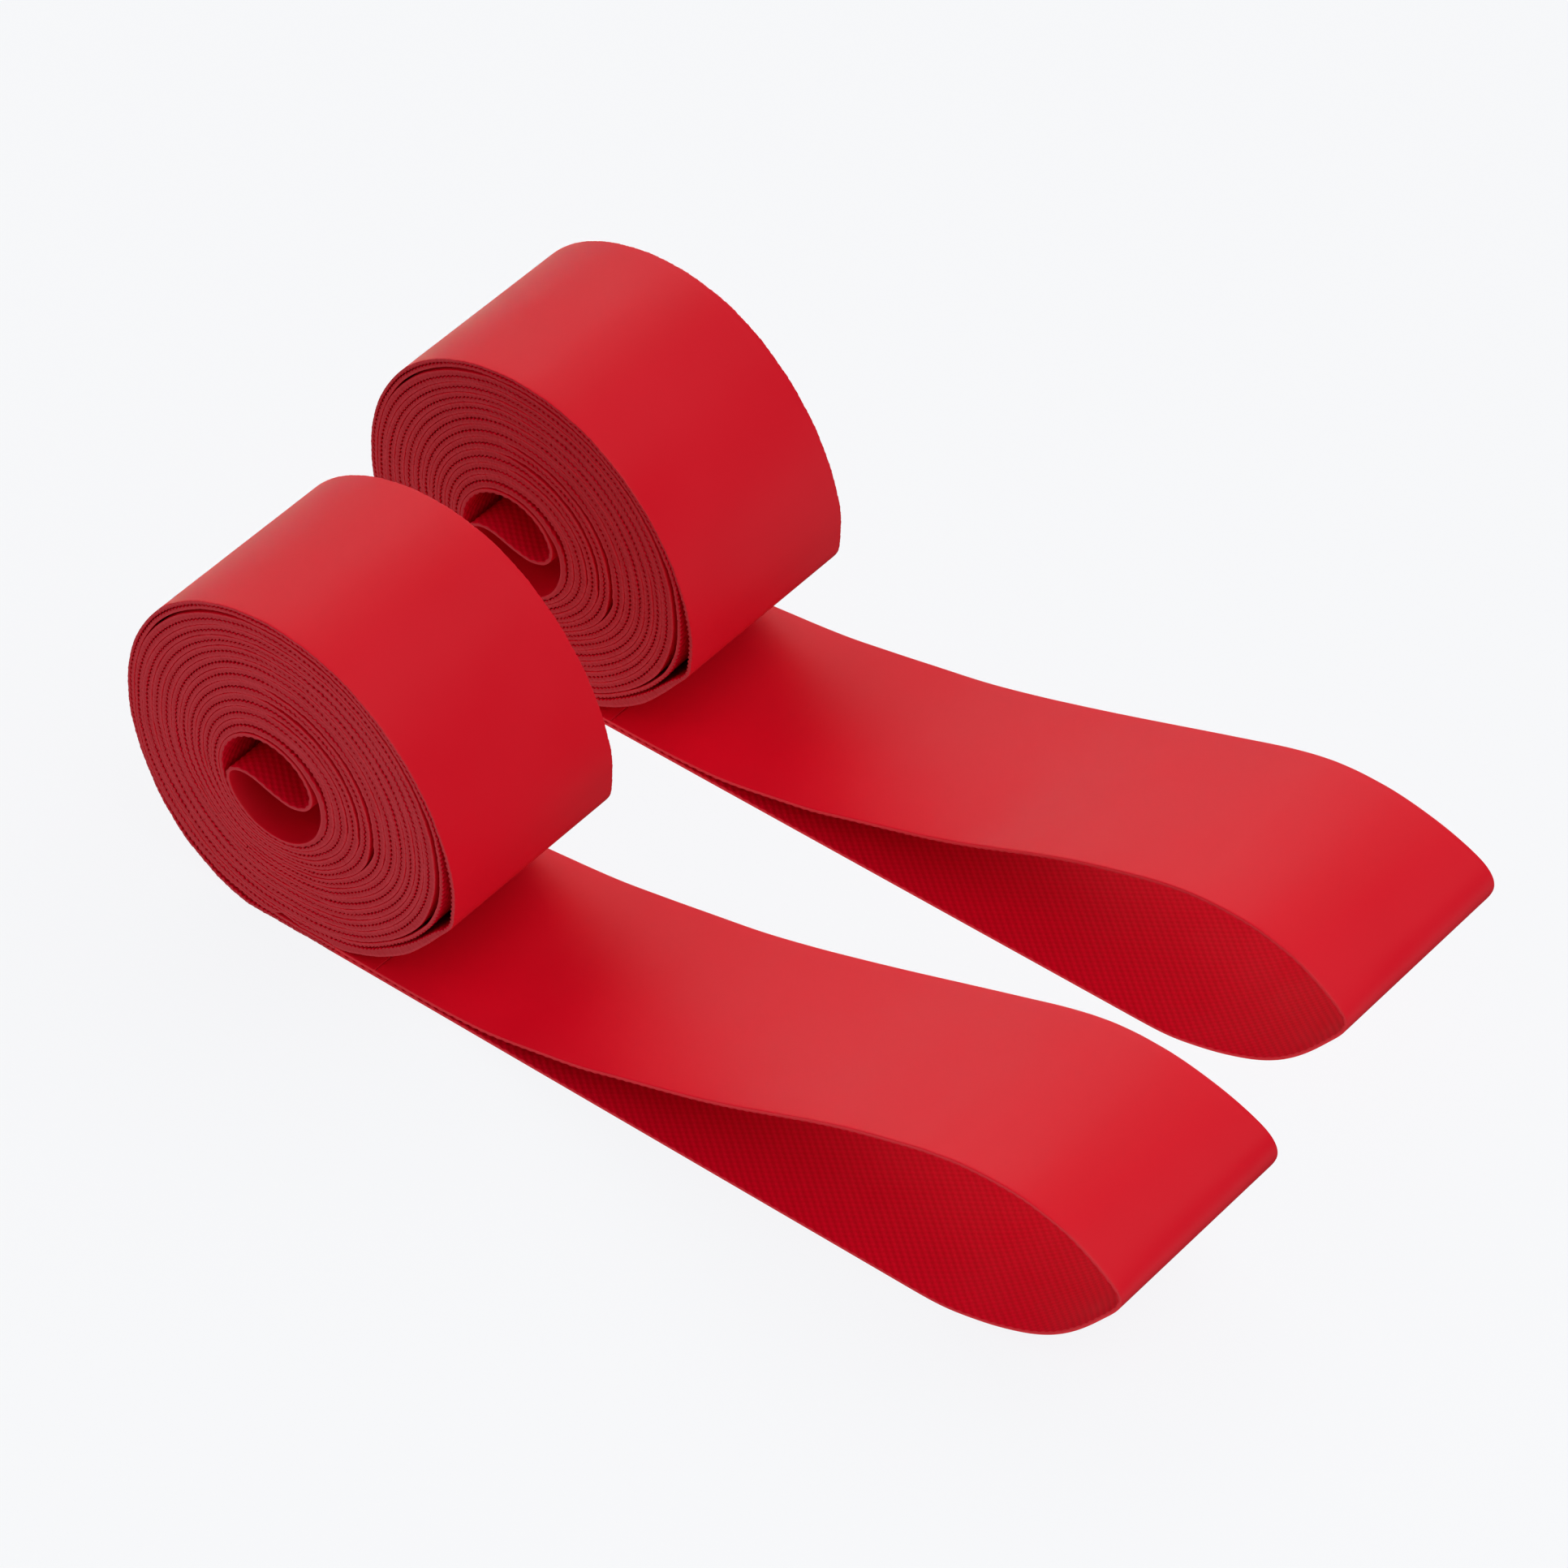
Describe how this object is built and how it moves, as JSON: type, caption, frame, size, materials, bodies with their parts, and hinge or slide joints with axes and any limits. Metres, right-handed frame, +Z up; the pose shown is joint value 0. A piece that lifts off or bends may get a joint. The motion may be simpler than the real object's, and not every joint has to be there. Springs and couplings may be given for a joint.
{
  "type": "closed-loop band",
  "caption": "Narrow endless bands of coated cloth, each pressed flat, rolled up double and lying with its free loop along the floor, to stretch round a rim or wrap round a limb.",
  "frame": {"origin": "bottom centre of the pair, on the floor", "axes": "+X from the rolls towards the free loops, +Y along the rolls' axes from the front band to the rear one, +Z up"},
  "size_m": [0.1182, 0.061, 0.037],
  "materials": {
    "coating": "smooth satin coating, flexible",
    "backing": "fine raised weave",
    "weld": "smooth melted seam"
  },
  "bodies": {
    "front_core": {"front_core_fold_backing": "backing", "front_core_fold_coating": "coating"},
    "front_free_loop": {"front_end_bend_backing": "backing", "front_end_bend_coating": "coating", "front_lower_run_backing": "backing", "front_lower_run_coating": "coating", "front_upper_lead_backing": "backing", "front_upper_lead_coating": "coating"},
    "front_inner_turns": {"front_inner_turns_inner_strand_backing": "backing", "front_inner_turns_inner_strand_coating": "coating", "front_inner_turns_outer_strand_backing": "backing", "front_inner_turns_outer_strand_coating": "coating"},
    "front_middle_turns": {"front_loop_weld": "weld", "front_middle_turns_inner_strand_backing": "backing", "front_middle_turns_inner_strand_coating": "coating", "front_middle_turns_outer_strand_backing": "backing", "front_middle_turns_outer_strand_coating": "coating"},
    "front_roll": {"front_outer_turns_inner_strand_backing": "backing", "front_outer_turns_inner_strand_coating": "coating", "front_outer_turns_outer_strand_backing": "backing", "front_outer_turns_outer_strand_coating": "coating"},
    "front_upper_run": {"front_upper_run_backing": "backing", "front_upper_run_coating": "coating"},
    "rear_core": {"rear_core_fold_backing": "backing", "rear_core_fold_coating": "coating"},
    "rear_free_loop": {"rear_end_bend_backing": "backing", "rear_end_bend_coating": "coating", "rear_lower_run_backing": "backing", "rear_lower_run_coating": "coating", "rear_upper_lead_backing": "backing", "rear_upper_lead_coating": "coating"},
    "rear_inner_turns": {"rear_inner_turns_inner_strand_backing": "backing", "rear_inner_turns_inner_strand_coating": "coating", "rear_inner_turns_outer_strand_backing": "backing", "rear_inner_turns_outer_strand_coating": "coating"},
    "rear_middle_turns": {"rear_loop_weld": "weld", "rear_middle_turns_inner_strand_backing": "backing", "rear_middle_turns_inner_strand_coating": "coating", "rear_middle_turns_outer_strand_backing": "backing", "rear_middle_turns_outer_strand_coating": "coating"},
    "rear_roll": {"rear_outer_turns_inner_strand_backing": "backing", "rear_outer_turns_inner_strand_coating": "coating", "rear_outer_turns_outer_strand_backing": "backing", "rear_outer_turns_outer_strand_coating": "coating"},
    "rear_upper_run": {"rear_upper_run_backing": "backing", "rear_upper_run_coating": "coating"}
  },
  "joints": [
    {"name": "front_loop_lift", "type": "hinge", "parent": "front_roll", "child": "front_free_loop", "pos_m": [-0.02708, -0.01955, 0.00086], "axis": [0, -1, 0], "range_deg": [0, 25], "stiffness_Nm_per_rad": 0.0008},
    {"name": "front_loop_press", "type": "hinge", "parent": "front_free_loop", "child": "front_upper_run", "pos_m": [-0.01498, -0.01955, 0.00136], "axis": [0, 1, 0], "range_deg": [-8, 8], "stiffness_Nm_per_rad": 0.02},
    {"name": "front_middle_turns_slip", "type": "slide", "parent": "front_roll", "child": "front_middle_turns", "axis": [0, -1, 0], "range_m": [-0.0012, 0.0012], "stiffness_N_per_m": 20},
    {"name": "front_inner_turns_slip", "type": "slide", "parent": "front_middle_turns", "child": "front_inner_turns", "axis": [0, -1, 0], "range_m": [-0.0012, 0.0012]},
    {"name": "front_core_slip", "type": "slide", "parent": "front_inner_turns", "child": "front_core", "axis": [0, -1, 0], "range_m": [-0.0012, 0.0012]},
    {"name": "rear_loop_lift", "type": "hinge", "parent": "rear_roll", "child": "rear_free_loop", "pos_m": [-0.03178, 0.01955, 0.00086], "axis": [0, -1, 0], "range_deg": [0, 25], "stiffness_Nm_per_rad": 0.0008},
    {"name": "rear_loop_press", "type": "hinge", "parent": "rear_free_loop", "child": "rear_upper_run", "pos_m": [-0.01968, 0.01955, 0.00136], "axis": [0, 1, 0], "range_deg": [-8, 8], "stiffness_Nm_per_rad": 0.02},
    {"name": "rear_middle_turns_slip", "type": "slide", "parent": "rear_roll", "child": "rear_middle_turns", "axis": [0, -1, 0], "range_m": [-0.0012, 0.0012], "stiffness_N_per_m": 20},
    {"name": "rear_inner_turns_slip", "type": "slide", "parent": "rear_middle_turns", "child": "rear_inner_turns", "axis": [0, -1, 0], "range_m": [-0.0012, 0.0012]},
    {"name": "rear_core_slip", "type": "slide", "parent": "rear_inner_turns", "child": "rear_core", "axis": [0, -1, 0], "range_m": [-0.0012, 0.0012]},
    {"name": "band_spacing", "type": "slide", "parent": "front_roll", "child": "rear_roll", "axis": [0, 1, 0], "range_m": [-0.012, 0.06]}
  ],
  "couplings": [
    {"joint": "front_inner_turns_slip", "follows": "front_middle_turns_slip", "ratio": 1},
    {"joint": "front_core_slip", "follows": "front_middle_turns_slip", "ratio": 1},
    {"joint": "rear_inner_turns_slip", "follows": "rear_middle_turns_slip", "ratio": 1},
    {"joint": "rear_core_slip", "follows": "rear_middle_turns_slip", "ratio": 1}
  ]
}
